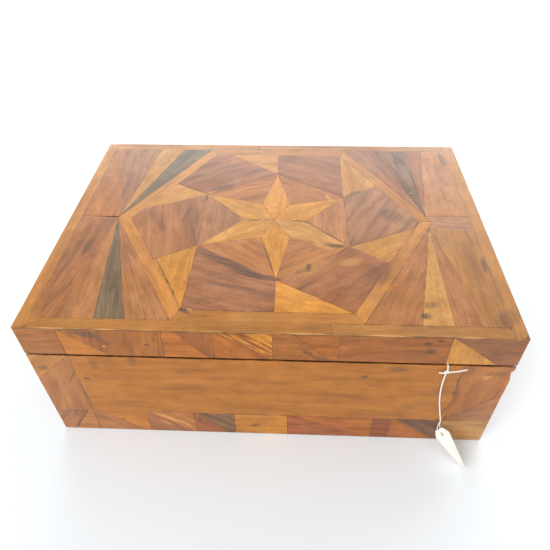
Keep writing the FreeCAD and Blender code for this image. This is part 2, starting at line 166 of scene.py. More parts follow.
# Pale sapwood and flame, the same way.
TOP_PALE = [
    (-44, -25, 9, 5, 35, 0.9),
    (-36, -17, 5, 3.5, 60, 0.85),
    (-52, -30, 5, 3, 0, 0.5),
    (49, 34, 2.4, 7, 20, 0.7),
    (88, 58, 9, 6, 60, 0.4),
    (32, -62, 30, 9, 24, 0.35),
    (62, -54, 12, 5, 12, 0.4),
    (42, -34, 12, 4, -30, 0.6),
    (-112.5, -23, 1.4, 1.1, 0, 0.95),
    (124.5, 43, 1.4, 1.1, 0, 0.95),
    (-56, -108.6, 3.0, 1.2, -20, 0.9),
    (152, 20, 10, 14, 0, 0.25),
]
# The front's, with z in place of y.
FRONT_DARK = [
    (-172, 88, 5, 3.5, 10, 0.6),
    (-141, 76, 3, 2, 0, 0.7),
    (73, 87, 2.8, 2.4, 0, 0.85),
    (-118, 65, 2.2, 1.2, 0, 0.4),
    (-66, 87, 5, 1.4, 10, 0.3),
    (-131, 95, 9, 4, 90, 0.4),
    (-101, 99, 6, 4, 80, 0.4),
    (97, 98, 9, 4, 0, 0.5),
    (124, 66, 7, 0.9, 0, 0.6),
    (57, 63, 14, 0.8, -14, 0.5),
    (-148, 56, 24, 0.9, 94, 0.8),
    (-152, 78, 11, 1.3, 60, 0.5),
    (144, 78, 16, 1.3, 99, 0.6),
    (142, 48, 18, 1.2, 75, 0.55),
    (145, 69, 4, 3.5, 0, 0.5),
    (168, 95, 12, 3, 4, 0.4),
    (116, 119, 4.5, 3, 20, 0.9),
    (113, 128, 3, 2.2, 0, 0.8),
    (121, 131, 3.2, 1.8, 0, 0.8),
    (-86, 119, 2.5, 1.5, 0, 0.7),
    (-80, 125, 1.6, 1.2, 0, 0.6),
    (30, 114, 7, 2.5, -35, 0.7),
    (40, 107, 9, 3, -20, 0.6),
    (-128, 129, 12, 4, -16, 0.8),
    (-118, 122, 8, 3, -40, 0.5),
    (-12, 14, 6, 2.2, 25, 0.7),
    (-20, 31, 20, 0.7, 0, 0.6),
    (-126, 17, 4, 1.5, 15, 0.5),
    (-58, 20, 7, 2, 80, 0.5),
]
FRONT_PALE = [
    (-118, 116, 1.2, 1.4, 0, 0.9),
    (-84, 21, 14, 2.0, -35, 0.75),
    (-72, 14, 10, 1.6, -45, 0.7),
    (-88, 14, 7, 1.2, -35, 0.6),
    (-15, 124, 10, 1.4, -36, 0.5),
    (163, 90, 4, 2.5, 20, 0.5),
]


def marks_group(name, marks, face):
    """A node group with each mark's strength in its middle and 0 off it, its outline broken up by noise."""
    tree = bpy.data.node_groups.new(name, "ShaderNodeTree")
    node = partial(add, tree)
    tree.interface.new_socket("Mark", in_out="OUTPUT", socket_type="NodeSocketFloat")
    place = node("TexCoord").outputs["Object"]
    ragged = node("TexNoise", {"Vector": place, "Scale": 330.0, "Detail": 5.0})
    shift = node("VectorMath", (ragged.outputs["Color"], (0.5, 0.5, 0.5)), operation="SUBTRACT")
    small = node("VectorMath", {0: shift, "Scale": 1.8 * MM}, operation="SCALE")
    pushed = node("VectorMath", (place, small), operation="ADD")
    total = None
    for x, height, half_length, half_width, angle, strength in marks:
        turn = math.radians(angle)
        if face == "top":
            where, axis = (x * MM, height * MM, HEIGHT), (0, 0, turn)
            size = (half_length, half_width, 3.0)
        else:
            where, axis = (x * MM, -HALF_DEPTH, height * MM), (0, -turn, 0)
            size = (half_length, 3.0, half_width)
        local = node("Mapping",
            {"Vector": pushed, "Location": where, "Rotation": axis, "Scale": [part * MM for part in size]},
            vector_type="TEXTURE",
        )
        off = node("VectorMath", (local,), operation="LENGTH")
        mask = node("MapRange", (off, 0.45, 1.2, strength, 0.0), **SMOOTH)
        if total is None:
            total = mask
        else:
            total = node("Math", (total, mask), operation="MAXIMUM")
    node("NodeGroupOutput", {"Mark": total})
    return tree


def arris_group():
    """A node group that is up to 1 along the box's upright and top edges, where handling has worn the
    polish through in patches.

    Of the distances out past the ends, past the front or back and past the top, the second largest is zero
    on an edge and negative away from it.
    """
    tree = bpy.data.node_groups.new("worn_arris", "ShaderNodeTree")
    node = partial(add, tree)
    tree.interface.new_socket("Worn", in_out="OUTPUT", socket_type="NodeSocketFloat")
    place = node("TexCoord").outputs["Object"]
    outward = node("VectorMath", (place,), operation="ABSOLUTE")
    parts = node("SeparateXYZ", (outward,)).outputs
    x, y, z = (
        node("Math", (parts[k], half), operation="SUBTRACT")
        for k, half in enumerate((HALF_WIDTH, HALF_DEPTH, HEIGHT))
    )
    lower = node("Math", (x, y), operation="MINIMUM")
    upper = node("Math", (x, y), operation="MAXIMUM")
    capped = node("Math", (upper, z), operation="MINIMUM")
    second = node("Math", (lower, capped), operation="MAXIMUM")
    uneven = node("TexNoise", {"Vector": place, "Scale": 55.0, "Detail": 5.0})
    width = node("MapRange", (uneven.outputs["Fac"], 0.42, 0.66, -0.25 * MM, -1.1 * MM), **SMOOTH)
    near = node("MapRange", {"Value": second, "From Min": width, "From Max": -0.05 * MM})
    patchy = node("MapRange", (uneven.outputs["Fac"], 0.40, 0.60, 0.15, 1.0), **SMOOTH)
    node("NodeGroupOutput", {"Worn": node("Math", (near, patchy), **PRODUCT)})
    return tree


# ---------------------------------------------------------------- woods

# Each wood: light, middle and dark colour, then how strong its dark streaks and its burr figure are, from 0
# to 1, the width in millimetres of its bands, and how gradually they turn from light to dark.
WOODS = {
    "burr_elm": ("#dba04c", "#cb8c3a", "#955c25", 0.15, 0.5, 8.0, 0.20),
    "satinwood": ("#d29c55", "#c18741", "#905d2c", 0.25, 0.3, 7.0, 0.20),
    "laburnum": ("#dca04a", "#b87a35", "#75441e", 0.95, 0.0, 3.0, 0.07),
    "kauri": ("#c48a48", "#b97d3f", "#96622f", 0.15, 0.05, 9.0, 0.20),
    "cherry": ("#c28249", "#b1703b", "#7b4926", 0.40, 0.2, 7.0, 0.20),
    "elm": ("#be8450", "#ad7142", "#7c4d2a", 0.45, 0.3, 6.0, 0.20),
    "walnut": ("#b37e54", "#a36c45", "#6a4630", 0.55, 0.2, 6.0, 0.20),
    "plum": ("#b0774f", "#9f6641", "#66402b", 0.50, 0.3, 6.0, 0.20),
    "mahogany": ("#ab6538", "#98562e", "#5e3320", 0.40, 0.1, 5.0, 0.20),
    "rosewood": ("#936c51", "#7e5a42", "#452f25", 0.75, 0.1, 5.0, 0.20),
    "blackwood": ("#8c7660", "#79644e", "#4a4036", 0.50, 0.0, 6.0, 0.20),
}
MATERIALS = {}


def wood(name, place_of_use, light, middle, dark, streaks, burr, band, reach):
    """Sawn veneer under shellac: figured grain, heartwood, burr, pores, dirty joints and worn edges."""
    material, node = new_material(name + "_" + place_of_use)
    grain = node("Attribute", attribute_name="grain").outputs["Vector"]
    place = node("TexCoord").outputs["Object"]

    # The grain wanders: a slow noise pushes the pattern by a few millimetres.
    wander = node("TexNoise",
        {"Vector": node("VectorMath", (grain, (14, 34, 1)), **PRODUCT), "Scale": 1.0, "Detail": 3.0},
    ).outputs["Color"]
    push = node("VectorMath", (wander, (0.006, 0.009, 0.0)), operation="MULTIPLY")
    bent = node("VectorMath", (grain, push), operation="ADD")

    # Bands of figure, seven times as long as they are wide, broken up into fine lines.
    across = 1 / (band * MM)
    bands = node("TexNoise",
        {
            "Vector": node("VectorMath", (bent, (across / 7, across, 1)), **PRODUCT),
            "Scale": 1.0,
            "Detail": 7.0,
            "Roughness": 0.62,
        },
    )
    shades = [(0.5 - reach, linear(light)), (0.5, linear(middle)), (0.5 + 1.3 * reach, linear(dark))]
    colour = node("ValToRGB", {"Fac": bands}, stops=shades)

    # Burr: curled, clouded figure with grains 4 mm across, and a dark eye in some of its 7 mm cells.
    curls = node("TexNoise",
        {"Vector": bent, "Scale": 1 / (4 * MM), "Detail": 5.0, "Roughness": 0.6, "Distortion": 1.4},
    )
    curled = node("ValToRGB", {"Fac": curls}, stops=shades)
    colour = node("Mix", {"Factor": 0.75 * burr, "A": colour, "B": curled}, **COLOURS)
    cells = node("TexVoronoi", {"Vector": bent, "Scale": 1 / (7 * MM)}, voronoi_dimensions="2D")
    chosen = node("SeparateColor", (cells.outputs["Color"],))
    eye = node("MapRange", (cells.outputs["Distance"], 0.03, 0.20, burr, 0.0), **SMOOTH)
    eye = node("Math", (eye, node("MapRange", (chosen, 0.66, 0.72, 0.0, 1.0), **SMOOTH)), **PRODUCT)
    colour = node("Mix", {"Factor": eye, "A": colour, "B": linear(dark)}, **COLOURS)

    # Dark heartwood: smoky clouds 24 mm wide and 56 mm long, and in them fine dark streaks 2.4 mm wide.
    heart = node("TexNoise",
        {"Vector": node("VectorMath", (bent, (18, 42, 1)), **PRODUCT), "Scale": 1.0, "Detail": 3.0},
    )
    streak = node("TexNoise",
        {
            "Vector": node("VectorMath", (bent, (11, 420, 3)), **PRODUCT),
            "Scale": 1.0,
            "Detail": 5.0,
            "Roughness": 0.65,
        },
    )
    clouded = node("MapRange", (heart, 0.46, 0.72, 0.0, 0.75 * streaks), **SMOOTH)
    gathered = node("MapRange", (heart, 0.40, 0.60, 0.15 * streaks, streaks), **SMOOTH)
    lined = node("Math", (node("MapRange", (streak, 0.50, 0.62, 0.0, 0.9), **SMOOTH), gathered), **PRODUCT)
    dark_share = node("Math", (clouded, lined), operation="MAXIMUM")
    colour = node("Mix", {"Factor": dark_share, "A": colour, "B": linear(dark)}, **COLOURS)

    # Fibres and pores 0.7 mm wide, coarser than the real ones, which are too fine to show.
    fibre = node("TexNoise",
        {"Vector": node("VectorMath", (bent, (60, 1400, 1)), **PRODUCT), "Scale": 1.0, "Detail": 2.0},
    )
    pores = node("TexNoise",
        {"Vector": node("VectorMath", (bent, (130, 1500, 1)), **PRODUCT), "Scale": 1.0, "Detail": 1.0},
    )
    mottle = node("TexNoise", {"Vector": place, "Scale": 70.0, "Detail": 6.0})
    colour = node("Mix",
        {
            "Factor": node("MapRange", (pores, 0.60, 0.72, 0.0, 0.35), **SMOOTH),
            "A": colour,
            "B": linear(dark),
        },
        **COLOURS,
    )
    value = node("Math",
        (
            node("MapRange", (fibre, 0.3, 0.7, 0.92, 1.10), **SMOOTH),
            node("MapRange", (mottle, 0.3, 0.7, 0.92, 1.10), **SMOOTH),
        ),
        **PRODUCT,
    )
    tone = node("Attribute", attribute_name="tone").outputs["Fac"]
    colour = node("HueSaturation", {"Color": colour, "Value": node("Math", (value, tone), **PRODUCT)})

    # The shellac: 1 where it is still deep orange, 0 where light has bleached it, -1 where it is cloudy.
    varnish = node("Attribute", attribute_name="varnish").outputs["Fac"]
    colour = node(
        "Mix", {"Factor": varnish, "A": colour, "B": (1.0, 0.77, 0.28, 1)}, blend_type="MULTIPLY", **COLOURS
    )
    cloudy = node("Math",
        (
            node("MapRange", (varnish, -1, 0, 0.20, 0.0), **SMOOTH),
            node("MapRange", (mottle, 0.3, 0.7, 0.6, 1.4), **SMOOTH),
        ),
        **PRODUCT,
    )
    colour = node("Mix", {"Factor": cloudy, "A": colour, "B": linear("#b9a4a0")}, **COLOURS)

    # Marks of age.
    dark_mark = node("Group", node_tree=bpy.data.node_groups[place_of_use + "_dark"])
    pale_mark = node("Group", node_tree=bpy.data.node_groups[place_of_use + "_pale"])
    broken = node("MapRange", (streak, 0.38, 0.60, 0.5, 1.0), **SMOOTH)
    colour = node("Mix",
        {"Factor": node("Math", (pale_mark, broken), **PRODUCT), "A": colour, "B": linear("#dba052")},
        **COLOURS,
    )
    colour = node("Mix",
        {"Factor": node("Math", (dark_mark, broken), **PRODUCT), "A": colour, "B": linear("#433730")},
        **COLOURS,
    )

    # Old polish and dirt in the joints: the attribute is 0 at a joint and 1 where its dirt ends.
    edge = node("Attribute", attribute_name="edge").outputs["Fac"]
    patch = node("TexNoise", {"Vector": place, "Scale": 110.0, "Detail": 3.0})
    dirt = node("Math",
        (
            node("MapRange", (edge, 0.2, 1.0, 0.7, 0.0), **SMOOTH),
            node("MapRange", (patch, 0.38, 0.62, 0.10, 1.0), **SMOOTH),
        ),
        **PRODUCT,
    )
    colour = node("Mix", {"Factor": dirt, "A": colour, "B": linear("#3a2417")}, **COLOURS)

    # Bare wood shows along the worn edges of the box.
    worn = node("Group", node_tree=bpy.data.node_groups["worn_arris"])
    colour = node("Mix",
        {"Factor": node("Math", (worn, 0.75), **PRODUCT), "A": colour, "B": linear("#e6b06c")},
        **COLOURS,
    )

    # Satin shellac, its gloss broken by handling; bare where it is worn.
    smear = node("TexNoise", {"Vector": place, "Scale": 30.0, "Detail": 5.0})
    gloss = node("MapRange", (smear, 0.3, 0.7, 0.29, 0.43), **SMOOTH)
    roughness = node("Math", (gloss, node("Math", (worn, 0.25), **PRODUCT)), operation="ADD")
    bump = node("Bump", {"Strength": 0.35, "Distance": 0.03 * MM, "Height": fibre})
    shader = node(
        "BsdfPrincipled",
        {
            "Base Color": colour,
            "Roughness": roughness,
            "IOR": 1.5,
            "Specular IOR Level": 0.36,
            "Normal": bump,
        },
    )
    node("OutputMaterial", {"Surface": shader})
    return material


def pine(name, along):
    """Planed pine, bare inside, with painted shade darkening the rims where the gap between lid and base
    shows them; along is its grain, x or y.
    """
    material, node = new_material(name)
    place = node("TexCoord").outputs["Object"]
    slow = node("TexNoise",
        {"Vector": node("VectorMath", (place, (9, 9, 9)), **PRODUCT), "Scale": 1.0, "Detail": 1.0},
    ).outputs["Color"]
    push = node("VectorMath", (slow, (0.02, 0.02, 0.02)), operation="MULTIPLY")
    bent = node("VectorMath", (place, push), operation="ADD")
    rings = (10, 260, 260) if along == "x" else (260, 10, 260)
    fibres = (40, 1300, 1300) if along == "x" else (1300, 40, 1300)
    ring = node("TexNoise",
        {"Vector": node("VectorMath", (bent, rings), **PRODUCT), "Scale": 1.0, "Detail": 2.0},
    )
    colour = node("ValToRGB",
        {"Fac": ring},
        stops=[(0.35, linear("#cfa469")), (0.55, linear("#bb8b50")), (0.68, linear("#8a5c30"))],
    )
    fibre = node("TexNoise",
        {"Vector": node("VectorMath", (place, fibres), **PRODUCT), "Scale": 1.0, "Detail": 2.0},
    )
    colour = node(
        "HueSaturation",
        {"Color": colour, "Value": node("MapRange", (fibre, 0.3, 0.7, 0.88, 1.06), **SMOOTH)},
    )
    grime = node("TexNoise", {"Vector": place, "Scale": 22.0, "Detail": 5.0})
    colour = node("Mix",
        {
            "Factor": node("MapRange", (grime, 0.45, 0.75, 0.0, 0.5), **SMOOTH),
            "A": colour,
            "B": linear("#6e4d2f"),
        },
        **COLOURS,
    )
    # Painted shade on the rims, as deep as the gap shows: the rim edges in the gap between lid and base are
    # painted dark for the shadow there.
    height = node("SeparateXYZ", (place,)).outputs[2]
    middle = (RIM + LID_EDGE) / 2
    off = node("Math", (height, middle), operation="SUBTRACT")
    off = node("Math", (off,), operation="ABSOLUTE")
    gap_shade = node(
        "MapRange", (off, LID_EDGE - middle + 0.2 * MM, LID_EDGE - middle + 2.5 * MM, 0.92, 0.0), **SMOOTH
    )
    colour = node("Mix", {"Factor": gap_shade, "A": colour, "B": linear("#352016")}, **COLOURS)
    bump = node("Bump", {"Strength": 0.5, "Distance": 0.08 * MM, "Height": fibre})
    roughness = node("MapRange", (grime, 0.3, 0.7, 0.55, 0.75), **SMOOTH)
    shader = node(
        "BsdfPrincipled",
        {"Base Color": colour, "Roughness": roughness, "IOR": 1.5, "Normal": bump},
    )
    node("OutputMaterial", {"Surface": shader})
    return material


def brass():
    """Cast and filed brass, gone brown where hands don't rub it: fine scratches, dull patches."""
    material, node = new_material("aged_brass")
    place = node("TexCoord").outputs["Object"]
    patch = node("TexNoise", {"Vector": place, "Scale": 160.0, "Detail": 5.0})
    filed = node(
        "TexNoise",
        {"Vector": node("VectorMath", (place, (120, 3500, 3500)), **PRODUCT), "Scale": 1.0, "Detail": 2.0},
    )
    tarnish = node("MapRange", (patch, 0.42, 0.66, 0.05, 0.85), **SMOOTH)
    colour = node("Mix", {"Factor": tarnish, "A": linear("#c79a52"), "B": linear("#6b4a25")}, **COLOURS)
    colour = node("Mix",
        {
            "Factor": node("MapRange", (filed, 0.5, 0.75, 0.0, 0.3), **SMOOTH),
            "A": colour,
            "B": linear("#e0bd7d"),
        },
        **COLOURS,
    )
    roughness = node("MapRange", (patch, 0.35, 0.7, 0.32, 0.6), **SMOOTH)
    bump = node("Bump", {"Strength": 0.4, "Distance": 0.03 * MM, "Height": filed})
    shader = node(
        "BsdfPrincipled",
        {"Base Color": colour, "Metallic": 1.0, "Roughness": roughness, "Normal": bump},
    )
    node("OutputMaterial", {"Surface": shader})
    return material


def velvet():
    """Cotton velvet glued to card: a short pile that leans in patches, its tips paler than its roots."""
    material, node = new_material("cotton_velvet")
    place = node("TexCoord").outputs["Object"]
    lean = node("TexNoise", {"Vector": place, "Scale": 38.0, "Detail": 4.0})
    tufts = node("TexNoise", {"Vector": place, "Scale": 1400.0, "Detail": 2.0})
    colour = node("Mix",
        {
            "Factor": node("MapRange", (lean, 0.35, 0.65, 0.0, 1.0), **SMOOTH),
            "A": linear("#611a20"),
            "B": linear("#74232a"),
        },
        **COLOURS,
    )
    colour = node("Mix",
        {
            "Factor": node("MapRange", (tufts, 0.35, 0.7, 0.0, 0.55), **SMOOTH),
            "A": colour,
            "B": linear("#38090e"),
        },
        **COLOURS,
    )
    bump = node("Bump", {"Strength": 0.9, "Distance": 0.25 * MM, "Height": tufts})
    shader = node(
        "BsdfPrincipled",
        {
            "Base Color": colour,
            "Roughness": 0.95,
            "IOR": 1.46,
            "Sheen Weight": 0.45,
            "Sheen Roughness": 0.35,
            "Sheen Tint": linear("#d98a86"),
            "Normal": bump,
        },
    )
    node("OutputMaterial", {"Surface": shader})
    return material


def cotton():
    """Bleached cotton string: matt fibres, with painted shade greying the hollows between its strands."""
    material, node = new_material("cotton_string")
    place = node("TexCoord").outputs["Object"]
    hollow = node("Attribute", attribute_name="hollow").outputs["Fac"]
    fluff = node("TexNoise", {"Vector": place, "Scale": 3200.0, "Detail": 2.0})
    # Painted shade: the hollows between the strands are greyed to stand in for the shadow that falls in them.
    colour = node("Mix",
        {
            "Factor": node("MapRange", (hollow, 0.1, 1.0, 0.0, 0.7), **SMOOTH),
            "A": linear("#fbf8f0"),
            "B": linear("#b9b0a0"),
        },
        **COLOURS,
    )
    colour = node("Mix",
        {
            "Factor": node("MapRange", (fluff, 0.5, 0.75, 0.0, 0.35), **SMOOTH),
            "A": colour,
            "B": linear("#cfc7b8"),
        },
        **COLOURS,
    )
    bump = node("Bump", {"Strength": 0.6, "Distance": 0.08 * MM, "Height": fluff})
    shader = node(
        "BsdfPrincipled",
        {"Base Color": colour, "Roughness": 0.9, "IOR": 1.5, "Sheen Weight": 0.15, "Normal": bump},
    )
    node("OutputMaterial", {"Surface": shader})
    return material


def card_stock():
    """Uncoated cream card: faint fibres, a little foxing and handling."""
    material, node = new_material("cream_card")
    place = node("TexCoord").outputs["Object"]
    fibres = node("TexNoise", {"Vector": place, "Scale": 900.0, "Detail": 4.0})
    foxing = node("TexNoise", {"Vector": place, "Scale": 95.0, "Detail": 4.0})
    colour = node("Mix",
        {
            "Factor": node("MapRange", (fibres, 0.35, 0.7, 0.0, 0.6), **SMOOTH),
            "A": linear("#fffdf4"),
            "B": linear("#f3efe0"),
        },
        **COLOURS,
    )
    colour = node("Mix",
        {
            "Factor": node("MapRange", (foxing, 0.55, 0.8, 0.0, 0.35), **SMOOTH),
            "A": colour,
            "B": linear("#e6d9b8"),
        },
        **COLOURS,
    )
    bump = node("Bump", {"Strength": 0.3, "Distance": 0.03 * MM, "Height": fibres})
    roughness = node("MapRange", (fibres, 0.3, 0.7, 0.7, 0.85), **SMOOTH)
    shader = node(
        "BsdfPrincipled",
        {"Base Color": colour, "Roughness": roughness, "IOR": 1.5, "Normal": bump},
    )
    node("OutputMaterial", {"Surface": shader})
    return material


def all_materials():
    """Every finish, by name."""
    marks_group("top_dark", TOP_DARK, "top")
    marks_group("top_pale", TOP_PALE, "top")
    marks_group("side_dark", FRONT_DARK, "front")
    marks_group("side_pale", FRONT_PALE, "front")
    arris_group()
    for name, look in WOODS.items():
        for place_of_use in ("top", "side"):
            MATERIALS[name + "_" + place_of_use] = wood(name, place_of_use, *look)
    MATERIALS["pine_long"] = pine("pine_grain_along_x", "x")
    MATERIALS["pine_short"] = pine("pine_grain_along_y", "y")
    MATERIALS["brass"] = brass()
    MATERIALS["velvet"] = velvet()
    MATERIALS["cotton"] = cotton()
    MATERIALS["card"] = card_stock()


# ---------------------------------------------------------------- pieces


def record_slot(node):
    """The record's material slot of a CAD node."""
    return next(s["material_slot"] for s in frame["record"]["subparts"] if s["node"] == node)


def make_piece(name, verts, faces, materials, body, node, attributes=(), indices=None):
    """A finished piece: mesh, attributes by vertex, body, and the CAD node it replaces, which it hides."""
    mesh = bpy.data.meshes.new(name)
    mesh.from_pydata(verts.tolist(), [], faces)
    for label, data in attributes:
        vector = data.ndim == 2
        attribute = mesh.attributes.new(label, "FLOAT_VECTOR" if vector else "FLOAT", "POINT")
        attribute.data.foreach_set("vector" if vector else "value", data.astype(np.float32).ravel())
    for material in materials:
        mesh.materials.append(material)
    if indices is not None:
        mesh.polygons.foreach_set("material_index", indices.astype(np.int32))
    mesh.shade_smooth()
    piece = bpy.data.objects.new(name, mesh)
    bpy.context.scene.collection.objects.link(piece)
    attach(piece, body)
    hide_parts(node)
    return piece


# ---------------------------------------------------------------- the tag on its string

STRING_RADIUS, STRING_LAY = 0.6 * MM, 3.6 * MM  # lay: the length of one turn of the strands
LOOP_RADIUS, LOOP_LAY = 0.4 * MM, 2.6 * MM
KNOT_SIZE, STOP_KNOT_SIZE = 1.5 * MM, 0.95 * MM
KNOT_RADIUS, KNOT_LAY = 0.5 * MM, 3.2 * MM  # string flattened by the pull
STRING_ROUTE = [
    (0.1302, -0.1136, 0.10445),
    (0.1307, -0.1196, 0.1046),
    (0.1310, -0.1252, 0.1045),
    (0.1312, -0.1307, 0.1046),
    (0.1313, -0.1307, 0.1002),
    (0.1310, -0.1304, 0.0930),
    (0.1312, -0.1302, 0.0810),
    (0.1330, -0.1302, 0.0640),
    (0.1364, -0.1306, 0.0480),
    (0.1399, -0.1316, 0.0335),
]
KNOT = (0.1312, -0.1309, 0.0984)
STOP_KNOT = (0.1301, -0.1124, 0.1043)
LONG_TAIL = [
    (0.1318, -0.1312, 0.0984),
    (0.1350, -0.1316, 0.0996),
    (0.1405, -0.1311, 0.1002),
    (0.1456, -0.1305, 0.1013),
]
SHORT_TAIL = [
    (0.1308, -0.1312, 0.0983),
    (0.1290, -0.1315, 0.0980),
    (0.1272, -0.1311, 0.0974),
    (0.1258, -0.1307, 0.0975),
]
TAG_END = Vector((0.1405, -0.1326, 0.0225))
TAG_TURN = Matrix.Rotation(-0.971, 3, "Z") @ Matrix.Rotation(0.385, 3, "Y") @ Matrix.Rotation(1.785, 3, "X")
TAG_LENGTH, TAG_WIDTH, TAG_CLIP = 35 * MM, 19 * MM, 5 * MM
TAG_THICKNESS, HOLE_RADIUS, HOLE_INSET = 0.4 * MM, 1.5 * MM, 4.5 * MM
TAG_CURL = 0.6 * MM
TAG_TWIST = (-25, 38)  # degrees: at the holed end, and how much more at the far end


def on_card(along, across, off):
    """A point of the tag: along it from the holed end, across it from the middle, off its face, in metres."""
    return TAG_END + TAG_TURN @ Vector((along, across, off))


def centreline(route, step):
    """Points evenly spaced along the smooth line that the route's points control."""
    curve = bpy.data.curves.new("route", "CURVE")
    curve.dimensions = "3D"
    spline = curve.splines.new("NURBS")
    spline.points.add(len(route) - 1)
    spline.points.foreach_set("co", [c for point in route for c in (*point, 1.0)])
    spline.order_u = 3
    spline.use_endpoint_u = True
    spline.resolution_u = 24
    carrier = bpy.data.objects.new("route", curve)
    mesh = bpy.data.meshes.new_from_object(carrier)
    line = np.zeros(len(mesh.vertices) * 3)
    mesh.vertices.foreach_get("co", line)
    line = line.reshape(-1, 3)
    bpy.data.objects.remove(carrier)
    bpy.data.curves.remove(curve)
    bpy.data.meshes.remove(mesh)
    walked = np.concatenate([[0], np.linalg.norm(np.diff(line, axis=0), axis=1).cumsum()])
    at = np.linspace(0, walked[-1], int(walked[-1] / step) + 2)
    return np.column_stack([np.interp(at, walked, line[:, k]) for k in range(3)])


def swept(line, radius, reference, around=15):
    """Rings round a line, square to it: point (s, a) lies radius(s, a) away from the line, at angle a."""
    ahead = np.gradient(line, axis=0)
    ahead /= np.linalg.norm(ahead, axis=1)[:, None]
    side = np.array(reference, float) - ahead * (ahead @ reference)[:, None]
    side /= np.linalg.norm(side, axis=1)[:, None]
    up = np.cross(ahead, side)
    walked = np.concatenate([[0], np.linalg.norm(np.diff(line, axis=0), axis=1).cumsum()])[:, None]
    angle = np.linspace(0, 2 * np.pi, around, endpoint=False)[None]
    out = np.cos(angle)[..., None] * side[:, None] + np.sin(angle)[..., None] * up[:, None]
    reach = radius(walked, angle)
    return line[:, None] + reach[..., None] * out, reach


def grid_faces(rings, around, ring_closed, first=0):
    """Quads of a grid of rings, each closed round; the last joins the first where ring_closed is true."""
    k = np.arange(rings if ring_closed else rings - 1)[:, None]
    i = np.arange(around)[None]
    after, beside = (k + 1) % rings, (i + 1) % around
    corners = [k * around + i, k * around + beside, after * around + beside, after * around + i]
    return np.stack([np.broadcast_to(c, (len(k), around)) for c in corners], axis=-1).reshape(-1, 4) + first


def strand(radius, turns_in, dip=0.26):
    """The outline of three strands laid round each other, one turn in turns_in metres.

    At distance s and angle a it is radius (1 - dip + dip |cos(1.5 (a - 2 pi s / turns_in))|).
    """

    def reach(walked, angle):
        return radius * (1 - dip + dip * np.abs(np.cos(1.5 * (angle - 2 * np.pi * walked / turns_in))))

    return reach


def cord_mesh(line, radius, reference, closed=False):
    """A cord along a line: vertices, quads, triangles, and each vertex's depth between strands, 0 to 1, which
    sets how much painted shade it gets.
    """
    rings, reach = swept(line, radius, reference)
    count, around = reach.shape
    hollow = (reach.max() - reach) / max(reach.max() - reach.min(), 1e-9)
    verts, hollow = rings.reshape(-1, 3), hollow.ravel()
    quads = grid_faces(count, around, closed)[:, ::-1]
    if closed:
        return verts, quads, np.zeros((0, 3), int), hollow
    i = np.arange(around)
    after, last = (i + 1) % around, (count - 1) * around
    start = np.column_stack([i, after, np.full(around, len(verts))])
    end = np.column_stack([last + after, last + i, np.full(around, len(verts) + 1)])
    verts = np.concatenate([verts, line[:1], line[-1:]])
    return verts, quads, np.concatenate([start, end]), np.concatenate([hollow, [0.5, 0.5]])


def trefoil(middle, size, count=90):
    """A tight overhand knot: (sin t + 2 sin 2t, -sin 3t, cos t - 2 cos 2t) size / 3 round its middle."""
    t = np.linspace(0, 2 * np.pi, count, endpoint=False)
    line = np.column_stack([np.sin(t) + 2 * np.sin(2 * t), -np.sin(3 * t), np.cos(t) - 2 * np.cos(2 * t)])
    return np.array(middle) + line * size / 3


def joined(meshes):
    """Several cord meshes as one: vertices, faces and the depths between strands that set the painted shade.
    """
    verts, quads, tris, hollow = zip(*meshes)
    starts = np.cumsum([0] + [len(v) for v in verts])
    quads = np.concatenate([q + start for q, start in zip(quads, starts)])
    tris = np.concatenate([t + start for t, start in zip(tris, starts)])
    return np.concatenate(verts), quads.tolist() + tris.tolist(), np.concatenate(hollow)


def knot_piece(name, middle, size, tails, node):
    """A knot with the tails that stick out of it."""
    meshes = [cord_mesh(trefoil(middle, size), strand(KNOT_RADIUS, KNOT_LAY), (0, 1, 0), closed=True)]
    for tail in tails:
        meshes.append(cord_mesh(centreline(tail, 0.25 * MM), strand(STRING_RADIUS, STRING_LAY), (0, 0, 1)))
    verts, faces, hollow = joined(meshes)
    return make_piece(name, verts, faces, [MATERIALS["cotton"]], "base", node, [("hollow", hollow)])


def card_piece():
    """The blank card: rings from its hole out to its outline and back underneath, then curled and twisted.

    Point (g, k) lies a share g of the way from the hole's rim to the outline. It is lifted 0.6 (x /
    length)^2 mm, and turned about the middle line by -25 degrees at the holed end, +13 degrees at the far
    end, evenly in between.
    """
    half = TAG_WIDTH / 2
    outline_points = np.array(
        [
            (TAG_CLIP, -half),
            (TAG_LENGTH, -half),
            (TAG_LENGTH, half),
            (TAG_CLIP, half),
            (0, half - TAG_CLIP),
            (0, TAG_CLIP - half),
        ]
    )
    edge = along(outline_points, np.array([20, 12, 20, 6, 8, 6]))
    hole = np.array([HOLE_INSET, 0.0])
    away = edge - hole
    rim = hole + away / np.linalg.norm(away, axis=1)[:, None] * HOLE_RADIUS
    thin = TAG_THICKNESS / 2
    shares = np.array([0, 0.02, 0.1, 0.25, 0.45, 0.65, 0.85, 0.97, 1.0])
    over = [(g, thin * (0.6 if g in (0, 1) else 1)) for g in shares]
    profile = over + [(g, -z) for g, z in over[::-1]]
    flat = np.stack([rim + (edge - rim) * g for g, _ in profile])
    share = flat[..., 0] / TAG_LENGTH
    off = np.array([z for _, z in profile])[:, None] + TAG_CURL * share**2
    twist = np.radians(TAG_TWIST[0] + TAG_TWIST[1] * share)
    across = flat[..., 1] * np.cos(twist) - off * np.sin(twist)
    above = flat[..., 1] * np.sin(twist) + off * np.cos(twist)
    local = np.stack([flat[..., 0], across, above], axis=-1).reshape(-1, 3)
    verts = local @ np.array(TAG_TURN.transposed()) + np.array(TAG_END)
    faces = grid_faces(len(profile), len(edge), True)[:, ::-1].tolist()
    return make_piece("blank_card", verts, faces, [MATERIALS["card"]], "base", "swing_tag")


